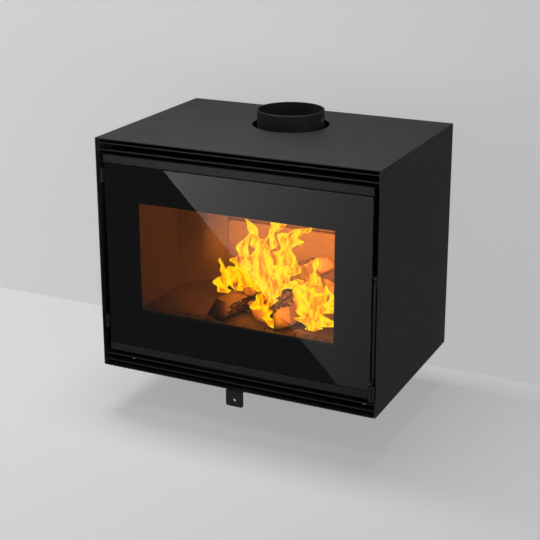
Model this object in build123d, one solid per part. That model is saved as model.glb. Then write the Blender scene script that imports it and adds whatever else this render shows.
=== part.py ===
from build123d import *
import math
import os

# Fireplace insert, built up from its separate pieces. Millimetres, +Z up, the front faces -Y.
# The origin is the centre of the casing's base, on its underside.

# Casing
casing_w = 650.0
casing_d = 450.0
casing_h = 523.0
casing_sheet = 2.0
casing_fold_r = 2.5
base_flange_h = 14.0
rear_flange_w = 16.0
back_inset = 1.0
support_hole_r = 4.5
support_side = 45.0
support_end = 55.0

# Flue
flue_r = 75.0
flue_wall = 2.5
flue_stand = 34.0
flue_gap = 11.0
flue_stop = 4.5
flue_from_front = 292.0
flange_w = 22.0
flange_t = 5.0
flue_gasket_t = 2.0
bolt_across = 14.0
bolt_head_h = 5.3
flue_bolt_count = 4
lock_screw_drop = 21.0

# Front: louvre blades and door face
face_setback = 6.4
blade_t = 3.0
blade_depth = 12.0
blade_edge_gap = 10.0
blade_pitch = 15.0
blade_end = 3.7
end_plate_depth = 22.0

# Door
door_side_gap = 15.0
door_end_gap = 36.0
door_depth = 33.6
rail_h = 19.0
rail_gap = 0.6
door_sheet = 2.0
door_lip = 28.0
glass_t = 4.0
glass_corner_r = 3.0
print_t = 0.2
window_side = 83.0
window_drop = 100.5
window_rise = 102.0
pane_gap = 19.4
pane_t = 4.0
pane_lap = 9.0
tape_t = 2.0
inner_sheet = 2.0
sight_side = 16.0
sight_top = 11.0
sight_sill = 14.5
rope_r = 4.2
rope_inset = 11.0
rope_corner_r = 16.0
channel_half = 6.0
channel_depth = 4.0
clip_w = 14.0

# Front frame and firebox shell
frame_t = 3.0
frame_flange = 22.0
frame_drop = 39.0
frame_bottom = 40.0
mouth_side = 71.0
mouth_bottom = 126.0
mouth_drop = 111.0
shell_t = 4.0
shell_drop = 47.0
shell_bottom = 88.0
shell_side_gap = 23.5
shell_back_gap = 58.0

# Lining
lining_t = 25.0
lining_gap = 0.5
lining_drop = 76.0
lining_front = 6.0
bevel_run = 81.0
bevel_depth = 101.0
fireback_gap = 42.0
fireback_t = 12.0
fireback_h = 143.0
fireback_r = 9.0
baffle_t = 20.0
baffle_front = 150.0
duct_depth = 62.0
duct_drop = 28.0
duct_fall = 20.0
duct_lip = 16.0
duct_t = 1.5
shelf_side = 99.5
shelf_drop = 24.0
shelf_front = 70.0
shelf_t = 2.5
slot_count = 16
slot_pitch = 24.0
guard_h = 6.0
guard_t = 3.0
guard_w = 12.0

# Clearances
rest_gap = 0.3
shaft_gap = 0.05

# Air control
port_w = 26.0
port_l = 30.0
port_pitch = 60.0
port_count = 3
port_from_front = 79.0
air_travel = 15.0
damper_t = 2.7
damper_margin = 6.0
air_box_w = 240.0
air_box_front = 52.0
air_box_back_gap = 10.0
air_box_sheet = 1.5
spigot_r = 40.0
spigot_wall = 1.5
spigot_stand = 40.0
spigot_height = 46.0
tab_w = 40.6
tab_drop = 40.5
tab_from_front = 5.5
tab_t = 3.0
tab_corner_r = 5.0
tab_hole_r = 3.5
tab_hole_drop = 26.0
neck_w = 24.0
neck_from_front = 70.0
leg_drop = 4.0
strip_bend_r = 3.5
guide_t = 1.5

# Hinges
hinge_inset = 6.5
hinge_setback = 8.0
knuckle_r = 6.0
knuckle_h = 24.0
pin_r = 4.0
hinge_arm_t = 5.0
hinge_rise = 59.0
hinge_drop = 57.0
leaf_depth = 28.0

# Lever handle
lever_t = 6.0
lever_depth = 10.0
lever_face = 1.0
lever_side_gap = 2.8
pivot_height = 297.0
pivot_setback = 18.0
pivot_r = 3.0
hub_r = 7.0
lever_bottom = 79.0
grip_r = 7.25
grip_h = 36.0
grip_edge = 2.0
grip_top = 75.5
grip_forward = 8.0
grip_x = 316.8
stem_r = 3.0
tooth_near = 13.0
tooth_far = 18.0
tooth_h = 7.0
clip_leaf_t = 0.8
clip_leaf_w = 7.0
clip_lip_rise = 2.5
clip_leaf_rise = 11.0
clip_foot_h = 24.0
clip_lead = 2.0

# Rear and underside
shield_t = 1.5
shield_from_back = 38.0
shield_side = 45.0
shield_bottom = 105.0
shield_drop = 33.0
spacer_r = 7.0
spacer_in = 60.0
rail_x = 200.0
rail_flange = 30.0
rail_t = 3.0
rail_from_front = 75.0
rail_from_back = 55.0
screw_margin = 60.0
screw_rows = 4
screw_head_r = 4.5
screw_head_h = 3.0

# Places that follow from the sizes above
front = -casing_d / 2
back = casing_d / 2
wall_x = casing_w / 2 - casing_sheet
roof_z = casing_h - casing_sheet
face_y = front + face_setback
door_x = casing_w / 2 - door_side_gap
door_low = door_end_gap
door_high = casing_h - door_end_gap
glass_back = face_y + glass_t
print_back = glass_back + print_t
door_back = face_y + door_depth
window_high = door_high - window_drop
window_low = door_low + window_rise
window_x = door_x - window_side
inner_face = door_back - door_sheet - inner_sheet
sight_x = window_x + sight_side
sight_low = window_low - sight_sill
sight_high = window_high + sight_top
frame_y = door_back + 2 * rope_r + 2 * rest_gap
frame_top = casing_h - frame_drop
mouth_x = casing_w / 2 - mouth_side
mouth_top = casing_h - mouth_drop
shell_y = frame_y + frame_t
shell_top = casing_h - shell_drop
ceiling_z = shell_top - shell_t
shell_x = wall_x - shell_side_gap
shell_rear = back - shell_back_gap
inner_x = shell_x - shell_t
brick_z = shell_bottom + shell_t
floor_z = brick_z + lining_t
lining_x = inner_x - lining_gap - lining_t
lining_top = shell_top - lining_drop
flue_y = front + flue_from_front
collar_foot = shell_top + flue_gasket_t
fireback_y = shell_rear - fireback_gap
bevel_y = fireback_y - bevel_depth
bevel_x = lining_x - bevel_run
lining_y = shell_y + lining_front
hinge_x = -door_x - hinge_inset
hinge_y = front + hinge_setback
lever_x = wall_x - lever_side_gap - lever_t / 2
pivot_y = front + pivot_setback


def across(x0):
    """A plane whose sketch is drawn in Y and Z, and is extruded towards +X from x0."""
    return Plane(origin=(x0, 0, 0), x_dir=(0, 1, 0), z_dir=(1, 0, 0))


def along_x(sketch, x0, x1):
    return extrude(across(x0) * sketch, x1 - x0)


def along_y(sketch, y0, y1):
    """The sketch is drawn in X and Z, as seen from the front."""
    return extrude(Plane(origin=(0, y1, 0), x_dir=(1, 0, 0), z_dir=(0, -1, 0)) * sketch, y1 - y0)


def along_z(sketch, z0, z1):
    return extrude(Plane.XY.offset(z0) * sketch, z1 - z0)


def rect(u0, u1, v0, v1):
    return Pos((u0 + u1) / 2, (v0 + v1) / 2) * Rectangle(u1 - u0, v1 - v0)


def round_rect(u0, u1, v0, v1, r):
    return Pos((u0 + u1) / 2, (v0 + v1) / 2) * RectangleRounded(u1 - u0, v1 - v0, r)


def disc(u, v, r):
    return Pos(u, v) * Circle(r)


def folded(points, thickness, radius):
    """The section of a bent sheet, drawn about its middle line."""
    return trace(FilletPolyline(*points, radius=radius), thickness)


def post(x, y, r, z0, z1):
    return along_z(disc(x, y, r), z0, z1)


nodes = {}


def keep(name, shape):
    nodes[name] = shape


def build_casing():
    wrap_back = back - casing_sheet
    rim_y = wrap_back - casing_sheet
    half = casing_w / 2
    roof = along_z(rect(-half, half, front, wrap_back), roof_z, casing_h)
    roof = chamfer(roof.faces().sort_by(Axis.Z)[-1].edges().filter_by(Axis.Y), 0.6)
    roof += along_y(rect(-wall_x, wall_x, roof_z - rear_flange_w, roof_z), rim_y, wrap_back)
    roof -= post(0, flue_y, flue_r + flue_gap, roof_z - 1, casing_h + 1)
    sides = []
    for side in (-1, 1):
        x0, x1 = sorted((side * half, side * wall_x))
        wall = along_z(rect(x0, x1, front, wrap_back), 0, roof_z)
        x0, x1 = sorted((side * (wall_x - rear_flange_w), side * wall_x))
        wall += along_z(rect(x0, x1, rim_y, wrap_back), 0, roof_z - rear_flange_w)
        sides.append(wall)
    panel_x = casing_w / 2 - back_inset
    panel = along_y(rect(-panel_x, panel_x, back_inset, casing_h - back_inset), wrap_back, back)
    panel -= along_y(disc(0, spigot_height, spigot_r + 3), wrap_back - 1, back + 1)
    screws = []
    inset = wall_x - rear_flange_w / 2
    step = (casing_h - 2 * screw_margin) / (screw_rows - 1)
    places = [(s * inset, screw_margin + i * step) for s in (-1, 1) for i in range(screw_rows)]
    places += [(i * inset / 2, roof_z - rear_flange_w / 2) for i in (-1, 0, 1)]
    for x, z in places:
        head = Pos(x, z) * RegularPolygon(screw_head_r, 12)
        screws.append(along_y(head, back, back + screw_head_h))
    keep("casing_top", roof)
    keep("casing_left", sides[0])
    keep("casing_right", sides[1])
    keep("casing_back", panel)
    keep("casing_screws", Compound(children=screws))

    bend = casing_fold_r + casing_sheet / 2
    rim_x = wall_x - casing_sheet / 2
    tray = folded([(-rim_x, base_flange_h), (-rim_x, casing_sheet / 2), (rim_x, casing_sheet / 2),
                   (rim_x, base_flange_h)], casing_sheet, bend)
    base = along_y(tray, front, back - 2 * casing_sheet)
    for sx in (-1, 1):
        for sy in (-1, 1):
            x = sx * (casing_w / 2 - support_side)
            y = sy * (casing_d / 2 - support_end)
            base -= post(x, y, support_hole_r, -1, casing_sheet + 1)
    base -= along_z(neck_slot(), -1, casing_sheet + 1)
    keep("casing_base", base)


def neck_slot():
    """The slot that the air lever's neck slides in."""
    half_x = neck_w / 2 + air_travel + 2
    y = front + neck_from_front
    return round_rect(-half_x, half_x, y - tab_t / 2 - 2, y + tab_t / 2 + 2, 3)


def build_louvres():
    blade_x = wall_x - blade_end
    first = blade_edge_gap
    rows = {"blade_bottom_lower": first, "blade_bottom_upper": first + blade_pitch,
            "blade_top_upper": casing_h - first - blade_t,
            "blade_top_lower": casing_h - first - blade_pitch - blade_t}
    for name, z in rows.items():
        section = rect(face_y, face_y + blade_depth, z, z + blade_t)
        blade = along_x(section, -blade_x, blade_x)
        edges = blade.edges().filter_by(Axis.X).sort_by(Axis.Y)[:2]
        keep(name, fillet(edges, 0.8))
    plates = []
    low = (casing_sheet, frame_bottom - 6)
    high = (door_high + 1.5, roof_z)
    for side in (-1, 1):
        for z0, z1 in (low, high):
            inset = casing_sheet if z0 == casing_sheet else 0
            x0, x1 = sorted((side * blade_x, side * (wall_x - inset)))
            z_foot = z0 + (casing_fold_r if z0 == casing_sheet else 0)
            z_head = z1 - (casing_fold_r if z1 == roof_z else 0)
            plates.append(along_x(rect(face_y, face_y + end_plate_depth, z_foot, z_head), x0, x1))
    keep("louvre_end_plates", Compound(children=plates))


def build_shell():
    ceiling = along_z(rect(-shell_x, shell_x, shell_y, shell_rear), ceiling_z, shell_top)
    ceiling -= post(0, flue_y, flue_r - flue_wall - flue_stop, ceiling_z - 1, shell_top + 1)
    keep("shell_top", ceiling)
    floor = along_z(rect(-shell_x, shell_x, shell_y, shell_rear), shell_bottom, brick_z)
    keep("shell_bottom", floor - along_z(ports_at(0), shell_bottom - 1, brick_z + 1))
    for name, side in (("shell_left", -1), ("shell_right", 1)):
        x0, x1 = sorted((side * shell_x, side * inner_x))
        keep(name, along_z(rect(x0, x1, shell_y, shell_rear), brick_z, ceiling_z))
    rear = rect(-inner_x, inner_x, shell_rear - shell_t, shell_rear)
    keep("shell_rear", along_z(rear, brick_z, ceiling_z))

    edge = wall_x - rest_gap
    mid = edge - frame_t / 2
    y_mid = frame_y + frame_t / 2
    bent = folded([(-mid, frame_y + frame_flange), (-mid, y_mid), (mid, y_mid),
                   (mid, frame_y + frame_flange)], frame_t, frame_t)
    front_frame = along_z(bent, frame_bottom, frame_top)
    mouth = round_rect(-mouth_x, mouth_x, mouth_bottom, mouth_top, 8)
    front_frame -= along_y(mouth, frame_y - 1, frame_y + frame_t + 1)
    keep("front_frame", front_frame)


def ports_at(shift):
    """The row of air ports, moved along X by shift."""
    row = [i - (port_count - 1) / 2 for i in range(port_count)]
    y = front + port_from_front
    holes = [Pos(i * port_pitch + shift, y) * RectangleRounded(port_w, port_l, 4) for i in row]
    return Sketch() + holes


def build_lining():
    back_face = fireback_y + fireback_t + rest_gap
    step = lining_t / math.sqrt(2)
    for name, side in (("lining_left", -1), ("lining_right", 1)):
        x_face = side * lining_x
        x_back = side * (lining_x + lining_t)
        run = (Polyline((x_face, lining_y), (x_face, bevel_y), (x_back, bevel_y + step), (x_back, lining_y),
                        close=True))
        keep(name, along_z(make_face(run), floor_z, lining_top))
    for name, side in (("lining_corner_left", -1), ("lining_corner_right", 1)):
        run = Polyline((side * lining_x, bevel_y), (side * bevel_x, fireback_y),
                       (side * bevel_x, back_face), (side * (bevel_x + lining_t), back_face + 2),
                       (side * (lining_x + lining_t), bevel_y + step), close=True)
        keep(name, along_z(make_face(run), floor_z, lining_top))
    rear = along_y(rect(-bevel_x, bevel_x, floor_z, lining_top), back_face, shell_rear - shell_t - lining_gap)
    keep("lining_rear", rear)
    plate_x = bevel_x - rest_gap
    plate = round_rect(-plate_x, plate_x, floor_z - fireback_r, floor_z + fireback_h, fireback_r)
    plate &= rect(-plate_x, plate_x, floor_z, floor_z + fireback_h)
    fireback = along_y(plate, fireback_y, fireback_y + fireback_t)
    rim = fireback.faces().sort_by(Axis.Y)[0].edges().filter_by(lambda e: e.center().Z > floor_z + 1)
    keep("fireback_plate", chamfer(rim, 1.2))

    port_y = front + port_from_front + port_l / 2 + 4
    floor_x = inner_x - lining_gap
    split = 2 * floor_x / 3
    floor_back = shell_rear - shell_t - lining_gap
    for i, name in enumerate(("floor_brick_left", "floor_brick_middle", "floor_brick_right")):
        x0 = -floor_x + i * split + (rest_gap if i else 0)
        x1 = -floor_x + (i + 1) * split
        brick = along_z(rect(x0, x1, port_y, floor_back), brick_z, floor_z)
        keep(name, chamfer(brick.faces().sort_by(Axis.Z)[-1].edges(), 0.8))
    sill = along_z(rect(-floor_x, floor_x, lining_y, port_y - rest_gap), floor_z - 6, floor_z)
    for side in (-1, 1):
        x0, x1 = sorted((side * floor_x, side * (floor_x - 8)))
        sill += along_z(rect(x0, x1, lining_y, port_y - rest_gap), brick_z, floor_z - 6)
    sill += along_z(rect(-floor_x, floor_x, lining_y, lining_y + 5), brick_z, floor_z - 6)
    slots = [Pos(slot_pitch * (i - (slot_count - 1) / 2), front + port_from_front + 2) * Rectangle(5, 20)
             for i in range(slot_count)]
    sill -= along_z(Sketch() + slots, floor_z - 7, floor_z + 1)
    keep("front_sill", sill)
    foot = lining_y + 2
    guard = folded([(foot, floor_z + guard_h), (foot, floor_z + guard_t / 2),
                    (foot + guard_w, floor_z + guard_t / 2)], guard_t, 2.5)
    keep("log_guard", along_x(guard, -lining_x + 1, lining_x - 1))

    keep("baffle_plate", along_z(rect(-lining_x - lining_t + 1, lining_x + lining_t - 1,
                                      front + baffle_front, floor_back), lining_top, lining_top + baffle_t))
    y_duct = shell_y + duct_depth
    z_lip = ceiling_z - duct_drop - duct_fall
    wash = folded([(y_duct, ceiling_z), (y_duct, ceiling_z - duct_drop), (shell_y + 5, z_lip),
                   (shell_y + 1.2, z_lip + duct_lip)], duct_t, 2)
    keep("airwash_duct", along_x(wash, -inner_x + 1, inner_x - 1))
    shelf_x = shell_x - shelf_side
    z_shelf = ceiling_z - shelf_drop
    shelf = folded([(-shelf_x, ceiling_z), (-shelf_x, z_shelf), (shelf_x, z_shelf), (shelf_x, ceiling_z)],
                   shelf_t, 4)
    keep("smoke_shelf", along_y(shelf, shell_y + shelf_front, flue_y - flue_r - 4))


def build_flue():
    outer = flue_r
    inner = flue_r - flue_wall
    foot = collar_foot
    top = casing_h + flue_stand
    section = Polyline((inner, foot), (outer + flange_w, foot), (outer + flange_w, foot + flange_t),
                       (outer, foot + flange_t), (outer, top - 0.8), (outer - 0.8, top),
                       (inner + 0.5, top), (inner, top - 0.5), close=True)
    collar = revolve(Plane(origin=(0, flue_y, 0), x_dir=(1, 0, 0), z_dir=(0, -1, 0)) * make_face(section),
                     Axis((0, flue_y, 0), (0, 0, 1)))
    gasket = along_z(disc(0, flue_y, outer + flange_w) - disc(0, flue_y, outer), shell_top, foot)
    bolts = []
    for i in range(flue_bolt_count):
        angle = math.radians(45 + 360 * i / flue_bolt_count)
        x = (outer + flange_w / 2 + 1) * math.cos(angle)
        y = flue_y + (outer + flange_w / 2 + 1) * math.sin(angle)
        hexagon = Pos(x, y) * RegularPolygon(bolt_across / 2, 6)
        bolts.append(along_z(hexagon, foot + flange_t, foot + flange_t + bolt_head_h))
    keep("flue_gasket", gasket)
    keep("flue_bolts", Compound(children=bolts))
    screws = []
    z = top - lock_screw_drop
    for side in (-1, 1):
        x0, x1 = sorted((side * (outer + 0.1), side * (outer + screw_head_h)))
        screws.append(along_x(disc(flue_y, z, screw_head_r), x0, x1))
    keep("flue_collar", collar)
    keep("collar_screws", Compound(children=screws))


def build_door():
    body = along_y(rect(-door_x, door_x, door_low, door_high), print_back, door_back)
    s = door_sheet
    hollow = rect(-door_x + s, door_x - s, door_low + s, door_high - s)
    body -= along_y(hollow, print_back + s, door_back - s)
    lip = door_lip
    opening = rect(-door_x + lip, door_x - lip, door_low + lip, door_high - lip)
    body -= along_y(opening, print_back - 1, door_back + 1)
    for upper in (True, False):
        z_out = door_high if upper else door_low
        way = -1 if upper else 1
        a = z_out + way * s / 2
        b = z_out + way * (rail_h - s / 2)
        y0 = face_y + s / 2
        section = folded([(print_back, a), (y0, a), (y0, b), (print_back, b)], s, s / 2 + 0.4)
        body += along_x(section, -door_x, door_x)
    ring = rope_ring(channel_half) - rope_ring(channel_half - 1.5)
    ring += rope_ring(-channel_half + 1.5) - rope_ring(-channel_half)
    body += along_y(ring, door_back, door_back + channel_depth)
    keep("door_frame", body)

    low = door_low + rail_h + rail_gap
    high = door_high - rail_h - rail_gap
    pane = along_y(round_rect(-door_x + 0.5, door_x - 0.5, low, high, glass_corner_r), face_y, glass_back)
    keep("door_glass", chamfer(pane.faces().sort_by(Axis.Y)[0].edges(), 0.6))
    window = round_rect(-window_x, window_x, window_low, window_high, 1)
    border = round_rect(-door_x + 0.5, door_x - 0.5, low, high, glass_corner_r) - window
    keep("glass_border", along_y(border, glass_back, print_back))

    lap = door_sheet
    ring_x = door_x - lap - 0.5
    outline = rect(-ring_x, ring_x, door_low + lap + 0.5, door_high - lap - 0.5)
    sight = round_rect(-sight_x, sight_x, sight_low, sight_high, 4)
    inner = along_y(outline - sight, inner_face, inner_face + inner_sheet)
    keep("inner_frame", inner)
    tape_back = inner_face
    pane_back = tape_back - tape_t
    pane_front = pane_back - pane_t
    big = round_rect(-sight_x - pane_lap, sight_x + pane_lap, sight_low - pane_lap, sight_high + pane_lap, 3)
    small = round_rect(-sight_x - 1, sight_x + 1, sight_low - 1, sight_high + 1, 4)
    keep("inner_pane", along_y(big, pane_front, pane_back))
    keep("pane_tape", along_y(big - small, pane_back, tape_back))
    clips = []
    reach = pane_lap
    for z in (sight_low - reach, sight_high + reach):
        way = -1 if z < (sight_low + sight_high) / 2 else 1
        for x in (-0.7 * sight_x, 0, 0.7 * sight_x):
            y_hold = pane_front - 0.75 - rest_gap
            section = folded([(inner_face - 0.75, z + way * 16), (inner_face - 0.75, z + way * 3),
                              (y_hold, z + way * 3), (y_hold, z - way * 5)], 1.5, 1.0)
            clips.append(along_x(section, x - clip_w / 2, x + clip_w / 2))
    for side in (-1, 1):
        x_edge = side * (sight_x + pane_lap)
        for z in (0.75 * sight_low + 0.25 * sight_high, 0.25 * sight_low + 0.75 * sight_high):
            y_hold = pane_front - 0.75 - rest_gap
            section = folded([(x_edge + side * 16, inner_face - 0.75), (x_edge + side * 3, inner_face - 0.75),
                              (x_edge + side * 3, y_hold), (x_edge - side * 5, y_hold)], 1.5, 1.0)
            clips.append(along_z(section, z - clip_w / 2, z + clip_w / 2))
    keep("pane_clips", Compound(children=clips))
    keep("door_rope", rope_loop())


def rope_ring(grow):
    """The rope's middle line as a filled outline, grown outwards by grow."""
    x = door_x - rope_inset + grow
    low = door_low + rope_inset - grow
    high = door_high - rope_inset + grow
    return round_rect(-x, x, low, high, rope_corner_r + grow)


def rope_loop():
    y = door_back + rope_r + rest_gap
    plane = Plane(origin=(0, y, 0), x_dir=(1, 0, 0), z_dir=(0, -1, 0))
    path = (plane * rope_ring(0)).wire()
    start = Plane(origin=path @ 0, z_dir=path % 0)
    return sweep(start * RegularPolygon(rope_r, 8), path=path)


def build_hinges():
    for name, z in (("hinge_lower", door_low + hinge_rise), ("hinge_upper", door_high - hinge_drop)):
        top = z + knuckle_h
        knuckle = disc(hinge_x, hinge_y, knuckle_r)
        leaf_x = -door_x
        leaf = rect(leaf_x - 2, leaf_x, hinge_y, hinge_y + leaf_depth)
        bridge = rect(hinge_x, leaf_x, hinge_y, hinge_y + knuckle_r)
        bridge &= rect(hinge_x, leaf_x, hinge_y + 3, hinge_y + knuckle_r)
        leaf_cut = rect(leaf_x - 2, leaf_x, print_back + rest_gap, hinge_y + leaf_depth)
        profile = knuckle + leaf_cut + bridge
        profile &= rect(hinge_x - 20, leaf_x, hinge_y - 20, hinge_y + 40)
        joined = along_z(profile, z, top) - post(hinge_x, hinge_y, pin_r + shaft_gap, z - 1, top + 1)
        keep(name + "_knuckle", joined)
        arm_low = z - rest_gap - hinge_arm_t
        half = knuckle_r - 0.3
        plan = disc(hinge_x, hinge_y, half) + rect(hinge_x - half, hinge_x + half, hinge_y, frame_y)
        arm = along_z(plan, arm_low, arm_low + hinge_arm_t)
        foot = rect(hinge_x - half, hinge_x + half, arm_low - 16, arm_low + hinge_arm_t)
        arm += along_y(foot, frame_y - 3, frame_y)
        pin = post(hinge_x, hinge_y, pin_r, arm_low, top + 2)
        pin = chamfer(pin.faces().sort_by(Axis.Z)[-1].edges(), 1.2)
        keep(name + "_bracket", arm + pin)


def build_handle():
    y_front = front + lever_face
    y_back = y_front + lever_depth
    shaft = rect(y_front, y_back, lever_bottom, pivot_height - 12)
    neck = make_face(Polyline((y_front, pivot_height - 12), (pivot_y - 3, pivot_height + hub_r - 0.8),
                              (pivot_y + 4, pivot_height - 6), (y_back, pivot_height - 18), close=True))
    hub = disc(pivot_y, pivot_height, hub_r)
    nose = rect(pivot_y, pivot_y + tooth_far, pivot_height - hub_r + 0.5, pivot_height)
    tooth = rect(pivot_y + tooth_near, pivot_y + tooth_far, pivot_height - 1, pivot_height + tooth_h)
    grip_y = front - grip_forward
    elbow = rect(grip_y - stem_r, y_back, lever_bottom - 1, lever_bottom + 6)
    outline = shaft + neck + hub + nose + tooth + elbow
    outline -= disc(pivot_y, pivot_height, pivot_r + shaft_gap)
    lever = along_x(outline, lever_x - lever_t / 2, lever_x + lever_t / 2)
    long_edges = lever.edges().filter_by(Axis.Z).group_by(Axis.Y)
    tall = [e for group in long_edges for e in group if e.length > 150]
    lever = fillet(tall, 1.2)
    lever += post(lever_x, grip_y, stem_r, grip_top - grip_h + 6, lever_bottom)
    keep("door_lever", lever)
    grip = post(lever_x, grip_y, grip_r, grip_top - grip_h, grip_top)
    grip = chamfer(grip.edges().filter_by(GeomType.CIRCLE), grip_edge)
    bore = post(lever_x, grip_y, stem_r + shaft_gap, grip_top - grip_h + 5, grip_top + 1)
    keep("lever_grip", grip - bore)

    inside = door_x - door_sheet
    pivot = along_x(disc(pivot_y, pivot_height, pivot_r), inside, wall_x - 1.2)
    pivot += along_x(disc(pivot_y, pivot_height, pivot_r + 1.5), door_x, lever_x - lever_t / 2 - rest_gap)
    pivot += along_x(disc(pivot_y, pivot_height, pivot_r + 1.5), lever_x + lever_t / 2 + rest_gap, wall_x - 1.2)
    hole = along_x(disc(pivot_y, pivot_height, pivot_r), inside - 1, door_x)
    nodes["door_frame"] -= hole
    keep("lever_pivot", pivot)

    lip_y = pivot_y + tooth_near - clip_lead
    foot_y = frame_y - clip_leaf_t / 2
    z_leaf = pivot_height + clip_leaf_rise
    spring = folded([(foot_y, z_leaf + clip_foot_h), (foot_y, z_leaf), (lip_y, z_leaf),
                     (lip_y, pivot_height + clip_lip_rise)], clip_leaf_t, 2.5)
    keep("latch_clip", along_x(spring, lever_x - clip_leaf_w / 2, lever_x + clip_leaf_w / 2))


def build_air():
    half = air_box_w / 2
    s = air_box_sheet
    y0 = front + air_box_front
    y1 = back - air_box_back_gap
    box = along_z(rect(-half, half, y0, y1), casing_sheet, shell_bottom)
    box -= along_z(rect(-half + s, half - s, y0 + s, y1 - s), casing_sheet + s, shell_bottom + 1)
    box -= along_z(neck_slot(), casing_sheet - 1, casing_sheet + s + 1)
    bore = spigot_r - spigot_wall
    box -= along_y(disc(0, spigot_height, bore), y1 - s - 1, y1 + 1)
    keep("air_box", box)
    flange = disc(0, spigot_height, spigot_r) - disc(0, spigot_height, bore)
    spigot = along_y(flange, y1, back + spigot_stand)
    collar = round_rect(-spigot_r - 8, spigot_r + 8, spigot_height - spigot_r - 1, spigot_height + spigot_r + 1, 3)
    spigot += along_y(collar - disc(0, spigot_height, bore), y1, y1 + 2)
    keep("air_spigot", spigot)

    reach = (port_count - 1) / 2 * port_pitch + port_w / 2
    plate_left = -reach - air_travel - 1
    plate_right = reach + air_travel + damper_margin
    y_mid = front + port_from_front
    wide = port_l / 2 + damper_margin
    z_top = shell_bottom - rest_gap
    z_low = z_top - damper_t
    plate = along_z(rect(plate_left, plate_right, y_mid - wide, y_mid + wide), z_low, z_top)
    plate -= along_z(ports_at(air_travel), z_low - 1, z_top + 1)
    keep("damper_plate", plate)
    guides = []
    for way in (-1, 1):
        y_leg = y_mid + way * (wide + rest_gap + guide_t / 2)
        ledge = z_low - rest_gap - guide_t / 2
        section = folded([(y_leg, shell_bottom), (y_leg, ledge), (y_leg - way * 5, ledge)], guide_t, 1)
        guides.append(along_x(section, -half + s + 1, half - s - 1))
    keep("damper_guides", Compound(children=guides))

    y_neck = front + neck_from_front
    y_tab = front + tab_from_front
    z_under = z_low - tab_t / 2
    z_leg = -leg_drop
    inside_edge = y_mid + wide - 7
    strip = folded([(inside_edge, z_under), (y_neck, z_under), (y_neck, z_leg), (y_tab, z_leg),
                    (y_tab, -tab_drop)], tab_t, strip_bend_r)
    lever = along_x(strip, -tab_w / 2, tab_w / 2)
    for side in (-1, 1):
        x0, x1 = sorted((side * neck_w / 2, side * tab_w))
        lever -= along_x(rect(y_neck - 4, y_mid + wide, z_leg + 1.6, z_top + 1), x0, x1)
    corners = lever.edges().filter_by(Axis.Y).group_by(Axis.Z)[0]
    lever = fillet(corners, tab_corner_r)
    hole_z = -tab_hole_drop
    lever -= along_y(disc(0, hole_z, tab_hole_r), y_tab - 4, y_tab + 4)
    keep("air_lever", lever)


def build_supports():
    for name, side in (("support_rail_left", -1), ("support_rail_right", 1)):
        x = side * rail_x
        y0 = front + rail_from_front
        mid = rail_t / 2
        section = folded([(x + side * rail_flange, casing_sheet + mid), (x, casing_sheet + mid),
                          (x, shell_bottom - mid), (x + side * rail_flange, shell_bottom - mid)], rail_t, 3)
        keep(name, along_y(section, y0, back - rail_from_back))
    y1 = back - casing_sheet - shield_from_back
    shield_x = casing_w / 2 - shield_side
    shield_top = casing_h - shield_drop
    shield = along_y(rect(-shield_x, shield_x, shield_bottom, shield_top), y1 - shield_t, y1)
    spacers = []
    for x in (-shield_x + spacer_in, shield_x - spacer_in):
        for z in (shield_bottom + spacer_in, shield_top - spacer_in):
            spacers.append(along_y(Pos(x, z) * RegularPolygon(spacer_r, 8), y1, back - casing_sheet))
    keep("heat_shield", shield)
    keep("shield_spacers", Compound(children=spacers))


build_casing()
build_louvres()
build_shell()
build_lining()
build_flue()
build_door()
build_hinges()
build_handle()
build_air()
build_supports()

os.makedirs("parts", exist_ok=True)
for name, shape in nodes.items():
    export_step(shape, f"parts/{name}.step")
print(len(nodes), "nodes")
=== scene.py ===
import math

import bpy
import numpy as np
from bpy.props import (
    BoolProperty,
    FloatProperty,
    FloatVectorProperty,
    IntProperty,
    PointerProperty,
)
from mathutils import Matrix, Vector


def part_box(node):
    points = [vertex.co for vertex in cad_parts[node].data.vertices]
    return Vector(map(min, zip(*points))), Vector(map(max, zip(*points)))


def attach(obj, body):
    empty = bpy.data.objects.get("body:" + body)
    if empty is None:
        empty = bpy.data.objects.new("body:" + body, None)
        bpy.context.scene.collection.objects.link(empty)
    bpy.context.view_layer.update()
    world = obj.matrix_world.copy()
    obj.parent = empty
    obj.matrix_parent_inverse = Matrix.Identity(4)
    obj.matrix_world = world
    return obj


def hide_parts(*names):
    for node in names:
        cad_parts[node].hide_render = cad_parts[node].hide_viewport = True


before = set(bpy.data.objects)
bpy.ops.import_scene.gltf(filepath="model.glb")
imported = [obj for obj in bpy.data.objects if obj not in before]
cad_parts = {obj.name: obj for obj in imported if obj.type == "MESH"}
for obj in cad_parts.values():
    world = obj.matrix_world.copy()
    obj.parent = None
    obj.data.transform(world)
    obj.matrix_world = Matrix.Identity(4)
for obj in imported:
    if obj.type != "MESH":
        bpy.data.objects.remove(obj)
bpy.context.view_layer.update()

bl_info = {
    "name": "Fireplace Insert Dresser",
    "version": (1, 0, 0),
    "blender": (4, 5, 0),
    "location": "View3D > Sidebar > Insert",
    "description": "Finishes and fine pieces for a built-in wood fireplace insert",
    "category": "Object",
}

# Picture and camera: the picture's side, the row that the lens looks at and the focal length in pixels, the
# camera's turn, lift and roll in degrees and its place in metres
PICTURE = 540
AXIS_ROW = 216
FOCAL = 1275.76
CAMERA_TURN = (25.655, 17.165, -0.1585)
CAMERA_AT = (1.1556, -2.4469, 1.1634)

# Backdrop: where its wall and floor lie and how far they reach. Its colour darkens from left to right within
# FADE_HALF of the middle, a painted shade for light falling off across it, and it lights the object with a
# share of its colour only
WALL_Y = 0.31
FLOOR_Z = -0.107
BACKDROP_REACH, WALL_TOP, FADE_HALF, LIGHTS_WITH = 9.0, 6.0, 1.4, 0.35
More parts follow.
